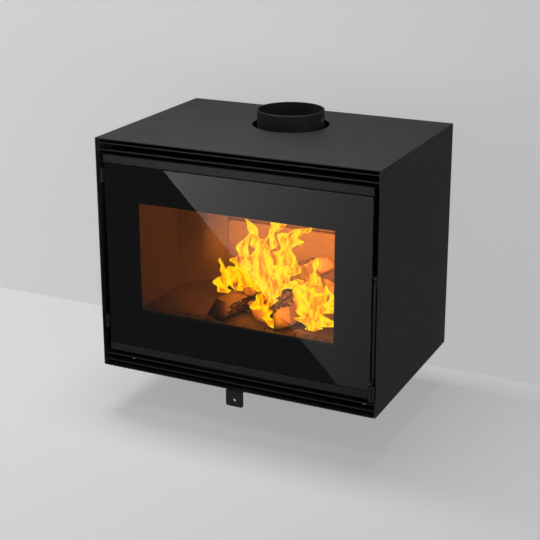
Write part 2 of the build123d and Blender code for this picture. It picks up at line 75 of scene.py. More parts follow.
# what the camera sees on top of the lit paint, and the share of brightness that the painted shade keeps at
# the right
FLOOR_LIFT, FLOOR_SHADE_KEEPS = 0.64, 0.66
WALL_LIFT, WALL_SHADE_KEEPS = 0.79, 0.68

# Card that the door glass mirrors: its plane, its two left corners and its right end as picture points, its
# glow at the picture point GLOW_AT, and how fast that falls for each pixel to the right and down
CARD_Y = -2.3
CARD_LEFT, CARD_RIGHT, CARD_GRID = ((103.0, 97.0), (403.0, 465.0)), 560.0, 24
CARD_GLOW, GLOW_AT, GLOW_FALL = 1.45, 200, (0.62 / 140, 0.38 / 150)

# Strength of the surroundings for soft light, in mirrors, through glass and as the camera sees them
SOFT_SKY, MIRRORED_SKY, SKY_THROUGH_GLASS, SEEN_SKY = 0.16, 0.15, 0.03, (0.63, 0.63, 0.64, 1.0)

# Pan head, as shares of its radius or height: the crown's fall, the slot's arm, half width and depth
CROWN_FALL, SLOT_ARM, SLOT_HALF, SLOT_DEPTH = 0.38, 0.62, 0.14, 0.55

# Grip: powers that close its ends, the rings' spacing, middle and width along its half length, and depth
END_POWERS = (9, 1 / 2.6)
RING_STEP, RING_AT, RING_WIDTH, RING_DEPTH = 0.16, -0.5, 0.018, 0.00035

# Welds: thickness of the collar's flange, and each bead's size and ripples
FLANGE = 0.005
COLLAR_BEAD, COLLAR_RIPPLES = 0.0028, 130
FOOT_BEAD, FOOT_RIPPLES = 0.0016, 9


# Sizes and colours


class CoatSettings(bpy.types.PropertyGroup):
    black: FloatVectorProperty(
        name="Coat colour", description="Colour of the black stove paint", subtype="COLOR",
        default=(0.030, 0.030, 0.031), min=0.0, max=1.0)
    roughness: FloatProperty(
        name="Coat roughness", description="How dull the paint is", default=0.50, min=0.0, max=1.0,
        subtype="FACTOR")
    grain: FloatProperty(
        name="Grain", description="Height of the sprayed grain", default=0.00012, min=0.0, unit="LENGTH")


class GlassSettings(bpy.types.PropertyGroup):
    ior: FloatProperty(
        name="Refraction", description="Index of the ceramic glass", default=1.5, min=1.0, max=2.0)
    inner_ior: FloatProperty(
        name="Inner refraction", description="Index of the coated inner pane", default=1.06, min=1.0, max=2.0)
    print_black: FloatVectorProperty(
        name="Print colour", description="Colour of the band printed behind the glass", subtype="COLOR",
        default=(0.0032, 0.0032, 0.0033), min=0.0, max=1.0)


class RopeSettings(bpy.types.PropertyGroup):
    radius: FloatProperty(
        name="Rope radius", description="Radius of the gasket rope", default=0.0042, min=0.001, unit="LENGTH")
    corner: FloatProperty(
        name="Corner radius", description="Radius of the rope's corners", default=0.016, min=0.001,
        unit="LENGTH")
    plaits: IntProperty(
        name="Plaits", description="Crossings of the braid round the loop", default=420, min=20)


class ScrewSettings(bpy.types.PropertyGroup):
    radius: FloatProperty(
        name="Head radius", description="Radius of a pan head", default=0.0045, min=0.001, unit="LENGTH")
    height: FloatProperty(
        name="Head height", description="Height of a pan head", default=0.0030, min=0.0005, unit="LENGTH")
    margin: FloatProperty(
        name="Margin", description="From the casing's ends to the first screw", default=0.060, unit="LENGTH")
    rows: IntProperty(
        name="Rows", description="Screws down each side of the back", default=4, min=2)


class GripSettings(bpy.types.PropertyGroup):
    waist: FloatProperty(
        name="Waist", description="How far the grip narrows", default=0.0005, min=0.0, unit="LENGTH")
    grooves: IntProperty(
        name="Grooves", description="Rings turned into the grip", default=3, min=0)


class BrickSettings(bpy.types.PropertyGroup):
    clay: FloatVectorProperty(
        name="Brick colour", description="Colour of the firebrick", subtype="COLOR",
        default=(0.42, 0.27, 0.17), min=0.0, max=1.0)
    sill: FloatVectorProperty(
        name="Sill colour", description="Colour of the heat-browned sill and log guard", subtype="COLOR",
        default=(0.24, 0.15, 0.10), min=0.0, max=1.0)
    grain: FloatProperty(
        name="Brick grain", description="Height of the pressed grain", default=0.0006, min=0.0, unit="LENGTH")


class StageSettings(bpy.types.PropertyGroup):
    pale: FloatVectorProperty(
        name="Backdrop", description="Colour of the floor and wall", subtype="COLOR",
        default=(0.665, 0.665, 0.675), min=0.0, max=1.0)
    lit: BoolProperty(name="Fire lit", description="Shows burning logs for the picture", default=True)


# Shared helpers


def surface(name, points, close_u=False, close_v=False, materials=(), attributes=None):
    """A mesh from a grid of points with shape (rows, columns, 3). A row or column may run round to its start.
    The UV map gives each corner its share of the way along the rows and the columns."""
    nu, nv = points.shape[:2]
    iu = np.arange(nu if close_u else nu - 1)
    iv = np.arange(nv if close_v else nv - 1)
    a, b = np.meshgrid(iu, iv, indexing="ij")
    a2, b2 = (a + 1) % nu, (b + 1) % nv
    faces = np.stack([a * nv + b, a2 * nv + b, a2 * nv + b2, a * nv + b2], axis=-1).reshape(-1, 4)
    corner_u = np.stack([a, a + 1, a + 1, a], axis=-1).reshape(-1) / nu
    corner_v = np.stack([b, b, b + 1, b + 1], axis=-1).reshape(-1) / nv
    mesh = bpy.data.meshes.new(name)
    mesh.vertices.add(nu * nv)
    mesh.vertices.foreach_set("co", points.reshape(-1).astype(np.float32))
    mesh.loops.add(faces.size)
    mesh.loops.foreach_set("vertex_index", faces.reshape(-1).astype(np.int32))
    mesh.polygons.add(len(faces))
    mesh.polygons.foreach_set("loop_start", np.arange(0, faces.size, 4, dtype=np.int32))
    mesh.update(calc_edges=True)
    uv = mesh.uv_layers.new(name="UVMap")
    uv.data.foreach_set("uv", np.stack([corner_u, corner_v], axis=-1).reshape(-1).astype(np.float32))
    for key, values in (attributes or {}).items():
        layer = mesh.attributes.new(key, "FLOAT", "POINT")
        layer.data.foreach_set("value", values.reshape(-1).astype(np.float32))
    mesh.polygons.foreach_set("use_smooth", np.ones(len(faces), dtype=bool))
    mesh.update()
    piece = bpy.data.objects.new(name, mesh)
    bpy.context.scene.collection.objects.link(piece)
    for m in materials:
        mesh.materials.append(m)
    return piece


def merged(name, pieces):
    """Joins finished pieces into one mesh that keeps their materials."""
    bpy.ops.object.select_all(action="DESELECT")
    for p in pieces:
        p.select_set(True)
    bpy.context.view_layer.objects.active = pieces[0]
    if len(pieces) > 1:
        bpy.ops.object.join()
    whole = bpy.context.view_layer.objects.active
    whole.name = name
    whole.data.name = name
    return whole


def blank(name):
    """A material with an output and nothing else."""
    material = bpy.data.materials.new(name)
    material.use_nodes = True
    tree = material.node_tree
    tree.nodes.clear()
    return material, tree, tree.nodes.new("ShaderNodeOutputMaterial")


def wire(source, output, target, socket):
    source.id_data.links.new(source.outputs[output], target.inputs[socket])


def shader(name):
    material, tree, out = blank(name)
    coat = tree.nodes.new("ShaderNodeBsdfPrincipled")
    wire(coat, "BSDF", out, "Surface")
    return material, tree, coat


def node(tree, kind, inputs=None, **settings):
    made = tree.nodes.new(kind)
    for key, value in settings.items():
        setattr(made, key, value)
    for key, value in (inputs or {}).items():
        made.inputs[key].default_value = value
    return made


def ramp(tree, source, stops):
    """A colour ramp over a value. Stops are (place, grey or colour)."""
    made = tree.nodes.new("ShaderNodeValToRGB")
    band = made.color_ramp
    while len(band.elements) < len(stops):
        band.elements.new(0.5)
    for element, (at, value) in zip(band.elements, stops):
        element.position = at
        colour = value if isinstance(value, (tuple, list)) else (value, value, value)
        element.color = (*colour[:3], 1.0)
    tree.links.new(source, made.inputs["Fac"])
    return made


def place(tree, scale=(1.0, 1.0, 1.0), turn=(0.0, 0.0, 0.0), by="Object"):
    """Object coordinates or the UV map, stretched and turned for a pattern."""
    where = node(tree, "ShaderNodeTexCoord")
    mapping = node(tree, "ShaderNodeMapping", {"Scale": scale, "Rotation": turn})
    wire(where, by, mapping, "Vector")
    return mapping.outputs["Vector"]


def noise(tree, vector, scale, detail=4.0, rough=0.55, warp=0.0):
    made = node(tree, "ShaderNodeTexNoise", {"Scale": scale, "Detail": detail, "Roughness": rough,
                                             "Distortion": warp})
    tree.links.new(vector, made.inputs["Vector"])
    return made.outputs["Fac"]


def bump(tree, coat, height, distance, strength=1.0):
    made = node(tree, "ShaderNodeBump", {"Distance": distance, "Strength": strength})
    tree.links.new(height, made.inputs["Height"])
    wire(made, "Normal", coat, "Normal")


def scaled(tree, source, factor, offset=0.0):
    """A value times a factor, plus an offset."""
    made = node(tree, "ShaderNodeMath", {1: factor, 2: offset}, operation="MULTIPLY_ADD")
    tree.links.new(source, made.inputs[0])
    return made.outputs["Value"]


def tint(tree, coat, source, dark, light):
    """The base colour runs from dark to light as the pattern does."""
    band = ramp(tree, source, [(0.30, dark), (0.72, light)])
    wire(band, "Color", coat, "Base Color")


def dulled(tree, coat, source, low, high):
    band = ramp(tree, source, [(0.30, low), (0.75, high)])
    wire(band, "Color", coat, "Roughness")


def shade(colour, factor):
    return tuple(min(1.0, c * factor) for c in colour)


def stove_paint(name, colour, roughness, grain):
    """Sprayed stove paint: a fine even grain, cloudy dullness and a very slight colour change."""
    material, tree, coat = shader(name)
    where = place(tree)
    cloud = noise(tree, where, 9.0, 5.0)
    fine = noise(tree, where, 1400.0, 2.0, 0.6)
    tint(tree, coat, cloud, shade(colour, 0.90), shade(colour, 1.10))
    dulled(tree, coat, cloud, roughness - 0.04, roughness + 0.06)
    bump(tree, coat, fine, grain)
    return material


def scorched_steel(name):
    """Bare heated sheet: dark scale with a faint blue and brown bloom."""
    material, tree, coat = shader(name)
    where = place(tree)
    cloud = noise(tree, where, 14.0, 6.0, 0.62)
    band = ramp(tree, cloud, [(0.32, (0.016, 0.016, 0.020)), (0.50, (0.030, 0.024, 0.020)),
                              (0.72, (0.050, 0.036, 0.026))])
    wire(band, "Color", coat, "Base Color")
    dulled(tree, coat, cloud, 0.48, 0.66)
    coat.inputs["Metallic"].default_value = 0.35
    bump(tree, coat, noise(tree, where, 900.0, 3.0), 0.0001)
    return material


def zinc_plate(name):
    """Bright plated fasteners with a fine brushed grain."""
    material, tree, coat = shader(name)
    where = place(tree, (1.0, 1.0, 14.0))
    grain = noise(tree, where, 420.0, 3.0)
    tint(tree, coat, grain, (0.30, 0.30, 0.31), (0.46, 0.46, 0.47))
    dulled(tree, coat, grain, 0.28, 0.42)
    coat.inputs["Metallic"].default_value = 1.0
    bump(tree, coat, grain, 0.00004)
    return material


def firebrick(name, clay, grain, scorch=0.0):
    """Pressed vermiculite: flakes of two sizes, small pits, and soot that gathers in soft clouds."""
    material, tree, coat = shader(name)
    where = place(tree)
    flakes = node(tree, "ShaderNodeTexVoronoi", {"Scale": 330.0, "Randomness": 1.0})
    tree.links.new(where, flakes.inputs["Vector"])
    cloud = noise(tree, where, 7.0, 6.0, 0.6)
    speck = ramp(tree, flakes.outputs["Color"], [(0.15, shade(clay, 0.86)), (0.85, shade(clay, 1.10))])
    soot = ramp(tree, cloud, [(0.28, (0.62, 0.60, 0.58)), (0.62, (1.0, 1.0, 1.0))])
    mix = node(tree, "ShaderNodeMix", data_type="RGBA", blend_type="MULTIPLY")
    mix.inputs["Factor"].default_value = 0.55 + scorch
    wire(speck, "Color", mix, "A")
    wire(soot, "Color", mix, "B")
    wire(mix, "Result", coat, "Base Color")
    dulled(tree, coat, cloud, 0.82, 0.95)
    pits = ramp(tree, noise(tree, where, 260.0, 6.0, 0.7), [(0.35, 0.0), (0.60, 1.0)])
    bump(tree, coat, pits.outputs["Color"], grain, 0.6)
    return material


def pane_glass(name, ior):
    """Clear ceramic glass with the faintest haze of wiping on it. Its coated rear mirrors nothing."""
    material, tree, coat = shader(name)
    coat.inputs["Base Color"].default_value = (0.985, 0.975, 0.955, 1.0)
    coat.inputs["Transmission Weight"].default_value = 1.0
    coat.inputs["IOR"].default_value = ior
    haze = noise(tree, place(tree, (1.0, 1.0, 0.4)), 6.0, 4.0)
    dulled(tree, coat, haze, 0.0, 0.012)
    side = tree.nodes.new("ShaderNodeNewGeometry")
    tree.links.new(scaled(tree, side.outputs["Backfacing"], -0.5, 0.5), coat.inputs["Specular IOR Level"])
    return material


def printed_band(name, colour):
    """The black ceramic print behind the glass: matte, with the fine dots of its screen."""
    material, tree, coat = shader(name)
    where = place(tree)
    dots = noise(tree, where, 700.0, 2.0)
    tint(tree, coat, dots, shade(colour, 0.8), shade(colour, 1.2))
    coat.inputs["Roughness"].default_value = 0.9
    coat.inputs["Specular IOR Level"].default_value = 0.1
    bump(tree, coat, dots, 0.00002)
    return material


def glass_rope(name):
    """Braided fibre rope: dark yarn with paler, dusty crowns, along its own UV map."""
    material, tree, coat = shader(name)
    yarn = noise(tree, place(tree, (900.0, 14.0, 1.0), by="UV"), 1.0, 5.0, 0.5)
    tint(tree, coat, yarn, (0.035, 0.034, 0.033), (0.13, 0.125, 0.12))
    coat.inputs["Roughness"].default_value = 0.92
    coat.inputs["Sheen Weight"].default_value = 0.25
    bump(tree, coat, yarn, 0.0004)
    return material


def moulded_grip(name):
    """Heat-proof moulded handle: near black, slightly glossy, finely textured."""
    material, tree, coat = shader(name)
    where = place(tree)
    fine = noise(tree, where, 1800.0, 2.0)
    tint(tree, coat, noise(tree, where, 60.0), (0.016, 0.016, 0.017), (0.024, 0.024, 0.025))
    coat.inputs["Roughness"].default_value = 0.16
    bump(tree, coat, fine, 0.00003)
    return material


def repaint(material, *names):
    """Gives CAD nodes a better finish through their material slots."""
    for name in names:
        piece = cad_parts[name]
        if not piece.material_slots:
            piece.data.materials.append(material)
        for slot in piece.material_slots:
            slot.material = material


def camera_axes():
    """The camera's right, up and backward directions from its three angles."""
    turn, lift, roll = np.radians(CAMERA_TURN)
    behind = np.array([math.sin(turn) * math.cos(lift), -math.cos(turn) * math.cos(lift), math.sin(lift)])
    right = np.array([math.cos(turn), math.sin(turn), 0.0])
    up = np.cross(behind, right)
    c, s = math.cos(roll), math.sin(roll)
    return c * right + s * up, -s * right + c * up, behind


def sight_line(u, v):
    """The direction in which the camera sees a picture point."""
    right, up, behind = camera_axes()
    across = (np.asarray(u, dtype=float) - PICTURE / 2)[..., None] / FOCAL
    down = (np.asarray(v, dtype=float) - AXIS_ROW)[..., None] / FOCAL
    return across * right - down * up - behind


def seen_at(u, v, y):
    """Where a picture point's sight line meets the plane across Y at y."""
    start = np.array(CAMERA_AT)
    line = sight_line(u, v)
    reach = (y - start[1]) / line[..., 1]
    return start + reach[..., None] * line


def transform(right, up, behind, at):
    """A transform from three row directions and a place."""
    return Matrix([(right[i], up[i], behind[i], at[i]) for i in range(3)] + [(0, 0, 0, 1)])


def cad_height():
    return float(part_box("casing_top")[1][2])


# Pieces


class INSERT_OT_paint_steel(bpy.types.Operator):
    """Paints the casing, blades, frames, hinges and lever, with painted shade in a darker copy on the
    recessed frames, clips and knuckles, and leaves the heated sheets scorched
    """

    bl_idname = "insert.paint_steel"
    bl_label = "Paint the steel"

    def execute(self, context):
        coat = context.scene.insert_coat
        paint = stove_paint("stove_paint", coat.black, coat.roughness, coat.grain)
        # painted shade: a darker copy of the stove paint for the frames, clips and knuckles in the recesses;
        # its extra roughness is the finish
        dull = stove_paint("recess_shaded_paint", shade(coat.black, 0.55), coat.roughness + 0.08, coat.grain)
        repaint(paint, "casing_top", "casing_left", "casing_right", "casing_base", "casing_back",
                "flue_collar", "blade_top_upper", "blade_top_lower", "blade_bottom_upper",
                "blade_bottom_lower", "louvre_end_plates", "air_lever", "hinge_lower_bracket",
                "hinge_upper_bracket", "door_frame", "door_lever")
        repaint(dull, "front_frame", "inner_frame", "pane_clips", "hinge_lower_knuckle",
                "hinge_upper_knuckle")
        repaint(scorched_steel("scorched_steel"), "shell_top", "shell_bottom", "shell_left", "shell_right",
                "shell_rear", "air_box", "air_spigot", "smoke_shelf", "airwash_duct", "damper_plate",
                "damper_guides", "heat_shield", "shield_spacers",
                "support_rail_left", "support_rail_right")
        hot = stove_paint("baked_paint", context.scene.insert_brick.sill, 0.6, coat.grain)
        repaint(hot, "front_sill", "log_guard")
        repaint(zinc_plate("zinc_plate"), "flue_bolts", "lever_pivot", "latch_clip")
        return {"FINISHED"}


class INSERT_OT_line_firebox(bpy.types.Operator):
    """Gives the lining, the floor bricks, the baffle and the fireback their pressed and sooty faces"""

    bl_idname = "insert.line_firebox"
    bl_label = "Line the firebox"

    def execute(self, context):
        brick = context.scene.insert_brick
        wall = firebrick("wall_brick", brick.clay, brick.grain)
        floor = firebrick("floor_brick", shade(brick.clay, 0.85), brick.grain, 0.15)
        plate = firebrick("fireback_brick", shade(brick.clay, 1.15), brick.grain * 0.6)
        repaint(wall, "lining_left", "lining_right", "lining_corner_left", "lining_corner_right",
                "lining_rear", "baffle_plate")
        repaint(floor, "floor_brick_left", "floor_brick_middle", "floor_brick_right")
        repaint(plate, "fireback_plate")
        return {"FINISHED"}


class INSERT_OT_glaze_door(bpy.types.Operator):
    """Makes the two panes clear and the printed band behind the outer one black"""

    bl_idname = "insert.glaze_door"
    bl_label = "Glaze the door"

    def execute(self, context):
        glass = context.scene.insert_glass
        repaint(pane_glass("pane_glass", glass.ior), "door_glass")
        repaint(pane_glass("inner_glass", glass.inner_ior), "inner_pane")
        repaint(printed_band("printed_band", glass.print_black), "glass_border")
        return {"FINISHED"}


class INSERT_OT_braid_rope(bpy.types.Operator):
    """Braids the door's gasket rope round its channel"""

    bl_idname = "insert.braid_rope"
    bl_label = "Braid the gasket"

    def execute(self, context):
        rope = context.scene.insert_rope
        low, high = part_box("door_rope")
        half = (high[0] - low[0]) / 2 - rope.radius
        x_mid = (high[0] + low[0]) / 2
        z0, z1 = low[2] + rope.radius, high[2] - rope.radius
        y_mid = (low[1] + high[1]) / 2
        line, side = self.round_loop(half, z0, z1, rope.corner, count=1300)
        around = np.linspace(0.0, 2 * np.pi, 20, endpoint=False)
        share = np.linspace(0.0, 1.0, len(line), endpoint=False)
        twist = 2 * np.pi * rope.plaits * share[:, None]
        weave = np.abs(np.sin(twist / 2 + 3 * around)) * np.abs(np.sin(twist / 2 - 3 * around))
        radius = rope.radius * (0.90 + 0.10 * weave)
        out = side[:, None, :] * (np.cos(around)[None, :, None] * radius[..., None])
        points = np.zeros((len(line), len(around), 3))
        points[..., 0] = x_mid + line[:, 0, None] + out[..., 0]
        points[..., 2] = line[:, 1, None] + out[..., 1]
        points[..., 1] = y_mid + np.sin(around)[None, :] * radius
        yarn = glass_rope("rope_yarn")
        piece = surface("gasket_rope", points, close_u=True, close_v=True, materials=[yarn])
        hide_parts("door_rope")
        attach(piece, "door")
        repaint(glass_rope("gasket_tape"), "pane_tape", "flue_gasket")
        return {"FINISHED"}

    def round_loop(self, half, z0, z1, corner, count):
        """A rectangle with round corners at even steps: each straight run and quarter circle in turn, from
        the distance gone, with the outward direction at each step."""
        wide, tall = 2 * (half - corner), (z1 - z0) - 2 * corner
        arc = corner * np.pi / 2
        gone = np.linspace(0.0, 2 * (wide + tall) + 4 * arc, count, endpoint=False)
        stops = np.cumsum([0.0, wide, arc, tall, arc, wide, arc, tall, arc])
        leg = np.clip(np.searchsorted(stops, gone, side="right") - 1, 0, 7)
        part = gone - stops[leg]
        zc = (z0 + z1) / 2
        reach = np.array([half - corner, (z1 - z0) / 2 - corner])
        corners = np.array([[1, 1], [1, -1], [-1, -1], [-1, 1]]) * reach
        which = leg // 2
        bend = leg % 2 == 1
        angle = np.pi / 2 - which * np.pi / 2 - np.where(bend, part / corner, 0.0)
        outward = np.stack([np.cos(angle), np.sin(angle)], axis=-1)
        centre = corners[which]
        along = np.stack([np.sin(angle), -np.cos(angle)], axis=-1)
        run = np.where(which % 2 == 0, wide, tall)
        back = np.where(bend, 0.0, part - run)
        line = centre + outward * corner + along * back[:, None]
        return line + np.array([0.0, zc]), outward


class INSERT_OT_drive_screws(bpy.types.Operator):
    """Puts cross-slotted pan heads on the back panel and on the collar"""

    bl_idname = "insert.drive_screws"
    bl_label = "Drive the screws"

    def execute(self, context):
        screw = context.scene.insert_screw
        zinc = zinc_plate("screw_zinc")
        black = stove_paint("screw_black", (0.05, 0.05, 0.052), 0.35, 0.00004)
        low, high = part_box("casing_screws")
        x_side, z_top = high[0] - screw.radius, high[2] - screw.radius
        rows = np.linspace(low[2] + screw.radius, cad_height() - screw.margin, screw.rows)
        spots = [(s * x_side, z) for s in (-1, 1) for z in rows]
        spots += [(s * x_side / 2, z_top) for s in (-1, 0, 1)]
        heads = []
        for i, (x, z) in enumerate(spots):
            grid = self.head(screw, 0.7 * i)
            points = np.stack([grid[..., 0] + x, low[1] + grid[..., 2], grid[..., 1] + z], axis=-1)
            heads.append(surface("head", points[:, ::-1], close_v=True, materials=[zinc]))
        piece = merged("back_screws", heads)
        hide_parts("casing_screws")
        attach(piece, "casing")
        low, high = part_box("collar_screws")
        y, z = (low[1] + high[1]) / 2, (low[2] + high[2]) / 2
        pair = []
        for side in (-1, 1):
            grid = self.head(screw, 0.4)
            edge = side * (high[0] - screw.height)
            out, across, up = side * grid[..., 2], side * grid[..., 0], grid[..., 1]
            points = np.stack([edge + out, y + across, z + up], axis=-1)
            pair.append(surface("head", points, close_v=True, materials=[black]))
        piece = merged("collar_lock_screws", pair)
        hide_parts("collar_screws")
        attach(piece, "casing")
        return {"FINISHED"}

    def head(self, screw, turn):
        """A pan head as rings: a straight skirt, a crown that falls with the square of the distance from the
        middle, and a cross sunk where either arm of the slot is nearer than its half width."""
        share = np.concatenate([[1.0, 1.0], np.linspace(1.0, 0.0, 13)[1:]])
        around = np.linspace(0.0, 2 * np.pi, 36, endpoint=False)
        s, a = np.meshgrid(share, around, indexing="ij")
        x, y = screw.radius * s * np.cos(a), screw.radius * s * np.sin(a)
        crown = screw.height * (1.0 - CROWN_FALL * s**2)
        c, d = np.cos(turn), np.sin(turn)
        u, v = np.abs(c * x + d * y), np.abs(-d * x + c * y)
        arm, wide = SLOT_ARM * screw.radius, SLOT_HALF * screw.radius
        sunk = np.clip((wide - np.minimum(u, v)) / wide * 2, 0, 1) * (np.maximum(u, v) < arm)
        z = crown - SLOT_DEPTH * screw.height * sunk
        z[0, :] = 0.0
        return np.stack([x, y, z], axis=-1)


class INSERT_OT_turn_grip(bpy.types.Operator):
    """Turns the lever's grip with domed ends, a slight waist and fine rings"""

    bl_idname = "insert.turn_grip"
    bl_label = "Turn the grip"

    def execute(self, context):
        grip = context.scene.insert_grip
        low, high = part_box("lever_grip")
        radius = (high[0] - low[0]) / 2
        x, y = (low[0] + high[0]) / 2, (low[1] + high[1]) / 2
        height = high[2] - low[2]
        t = np.linspace(-1.0, 1.0, 90)
        # a super-ellipse closes the ends, the waist is a cosine, and the rings are narrow dips
        profile = radius * (1.0 - np.abs(t) ** END_POWERS[0]) ** END_POWERS[1]
        profile -= grip.waist * np.cos(t * np.pi / 2) ** 2
        for i in range(grip.grooves):
            at = (i - (grip.grooves - 1) / 2) * RING_STEP + RING_AT
            profile -= RING_DEPTH * np.exp(-((t - at) / RING_WIDTH) ** 2)
        profile = np.clip(profile, 0.0, radius)
        around = np.linspace(0.0, 2 * np.pi, 48, endpoint=False)
        points = np.zeros((len(t), len(around), 3))
        points[..., 0] = x + profile[:, None] * np.cos(around)
        points[..., 1] = y + profile[:, None] * np.sin(around)
        points[..., 2] = (low[2] + high[2]) / 2 + (t * height / 2)[:, None]
        piece = surface("turned_grip", points[:, ::-1], close_v=True, materials=[moulded_grip("grip_black")])
        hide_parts("lever_grip")
        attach(piece, "handle")
        return {"FINISHED"}


class INSERT_OT_weld_seams(bpy.types.Operator):
    """Lays weld beads where the collar's tube meets its flange and where the hinge feet meet the frame"""

    bl_idname = "insert.weld_seams"
    bl_label = "Weld the seams"

    def execute(self, context):
        steel = stove_paint("weld_paint", (0.034, 0.034, 0.035), 0.42, 0.00010)
        low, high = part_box("flue_collar")
        x, y = (low[0] + high[0]) / 2, (low[1] + high[1]) / 2
        radius = context.scene.insert_collar_radius
        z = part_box("flue_gasket")[1][2] + FLANGE
        turn = np.linspace(0.0, 2 * np.pi, 720, endpoint=False)
        out = np.stack([np.cos(turn), np.sin(turn), np.zeros_like(turn)], axis=-1)
        path = np.array([x, y, z]) + radius * out
        up, forward = np.array([0.0, 0.0, 1.0]), np.array([0.0, -1.0, 0.0])
        beads = [self.bead(path, out, up, COLLAR_BEAD, COLLAR_RIPPLES, True, steel)]
        for name in ("hinge_lower_bracket", "hinge_upper_bracket"):
            low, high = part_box(name)
            span = np.linspace(low[0] + 0.001, high[0] - 0.001, 40)
            path = np.stack([span, np.full_like(span, high[1]), np.full_like(span, low[2])], axis=-1)
            down = np.tile(-up, (len(span), 1))
            beads.append(self.bead(path, down, forward, FOOT_BEAD, FOOT_RIPPLES, False, steel))
        piece = merged("weld_beads", beads)
        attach(piece, "casing")
        return {"FINISHED"}

    def bead(self, path, first, second, size, ripples, closed, steel):
        """A quarter-round bead between two faces: its bulge follows an arc from one face to the other, and
        shallow ripples cross it like laid coins."""
        share = np.linspace(0.0, 1.0, len(path), endpoint=not closed)
        arc = np.linspace(0.0, np.pi / 2, 7)
        swell = size * (0.92 + 0.08 * np.abs(np.sin(np.pi * ripples * share)))[:, None]
        a = np.cos(arc)[None, :] * swell
        b = np.sin(arc)[None, :] * swell
        points = path[:, None, :] + a[..., None] * first[:, None, :] + b[..., None] * second
        return surface("bead", points, close_u=closed, materials=[steel])


# Stage


# Logs: name, picture point and depth of the near and the far end, radius, roll, wedge, seed
LOGS = (
    ("log_left", (219, 308, -0.135), (250, 293, -0.055), 0.050, 150, 120, 1),
    ("log_leaning", (245, 286, -0.105), (268, 272, -0.030), 0.036, 200, 110, 2),
    ("log_centre", (259, 313, -0.135), (290, 296, -0.050), 0.040, 30, 130, 3),
    ("log_front", (284, 320, -0.145), (306, 306, -0.060), 0.044, 300, 110, 4),
    ("log_top", (324, 267, -0.085), (284, 276, -0.015), 0.042, 20, 120, 5),
    ("log_right", (330, 288, -0.105), (300, 294, -0.030), 0.036, 60, 120, 6),
    ("log_low", (331, 318, -0.120), (296, 300, -0.030), 0.045, 10, 140, 7),
    ("log_rear", (244, 296, -0.030), (318, 298, 0.020), 0.052, 0, 170, 8),
    ("log_stood", (278, 300, -0.060), (266, 262, -0.040), 0.034, 90, 140, 9),
)
# Flames: picture points of the foot, the bend and the tip, width in pixels, depth plane, seed
FLAMES = (
    (262, 292, 256, 250, 281, 221, 20, -0.150, 1),
    (268, 276, 286, 240, 311, 226, 20, -0.148, 2),
    (259, 282, 264, 242, 247, 217, 15, -0.140, 3),
    (258, 284, 236, 266, 250, 229, 17, -0.146, 4),
    (228, 293, 221, 276, 223, 257, 12, -0.150, 5),
    (274, 292, 294, 272, 290, 247, 18, -0.142, 6),
    (294, 300, 318, 288, 318, 257, 16, -0.150, 7),
    (316, 326, 320, 304, 328, 284, 34, -0.156, 8),
    (298, 314, 312, 302, 337, 302, 26, -0.158, 9),
    (263, 292, 265, 312, 272, 328, 15, -0.156, 10),
    (288, 240, 300, 240, 305, 247, 7, -0.140, 11),
    (284, 278, 296, 290, 324, 284, 9, -0.154, 12),
    (236, 290, 244, 268, 262, 250, 20, -0.144, 13),
    (268, 300, 276, 276, 266, 250, 18, -0.152, 14),
    (284, 228, 278, 222, 268, 220, 12, -0.138, 15),
    (308, 330, 312, 316, 322, 306, 16, -0.160, 16),
    (240, 268, 238, 254, 246, 244, 9, -0.150, 17),
)
EMBER = (1.0, 0.37, 0.06)
# Fire's point lamps: place, power
FIRE_LIGHTS = (((0.050, -0.020, 0.290), 0.07), ((0.150, -0.030, 0.170), 0.06), ((0.110, -0.162, 0.250), 0.13))
# Fire's area lamps: name, place, turn about X in degrees, width, height, power
FIRE_GLOWS = (
    ("fire_back_glow", (-0.045, 0.045, 0.250), 90, 0.32, 0.16, 0.24),
    ("fire_low_glow", (0.080, -0.170, 0.160), 90, 0.26, 0.05, 0.13),
    ("fire_front_glow", (0.075, -0.150, 0.300), 35, 0.22, 0.05, 0.80),
)
# Studio lamps: name, place, aim, width, height, power, whether metal and glass mirror it
LAMPS = (
    ("sky_box", (-0.40, 0.62, 2.60), (0.0, 0.05, 0.3), 1.9, 1.6, 112.0, True),
    ("side_box", (2.6, -1.0, 1.2), (0.3, 0.0, 0.25), 1.2, 1.6, 4.2, True),
    ("rail_strip", (-0.03, -0.45, 0.49), (-0.03, -0.22, 0.475), 0.60, 0.04, 0.40, False),
)


def area_lamp(name, wide, tall, power):
    lamp = bpy.data.lights.new(name, "AREA")
    lamp.shape, lamp.size, lamp.size_y, lamp.energy = "RECTANGLE", wide, tall, power
    return lamp


def hang(lamp, where, mirrored=False):
    """Hangs a lamp that lights but is never seen, and is mirrored only if it says so."""
    carrier = bpy.data.objects.new(lamp.name, lamp)
    carrier.matrix_world = where
    carrier.visible_camera = carrier.visible_transmission = False
    carrier.visible_glossy = mirrored
    bpy.context.scene.collection.objects.link(carrier)


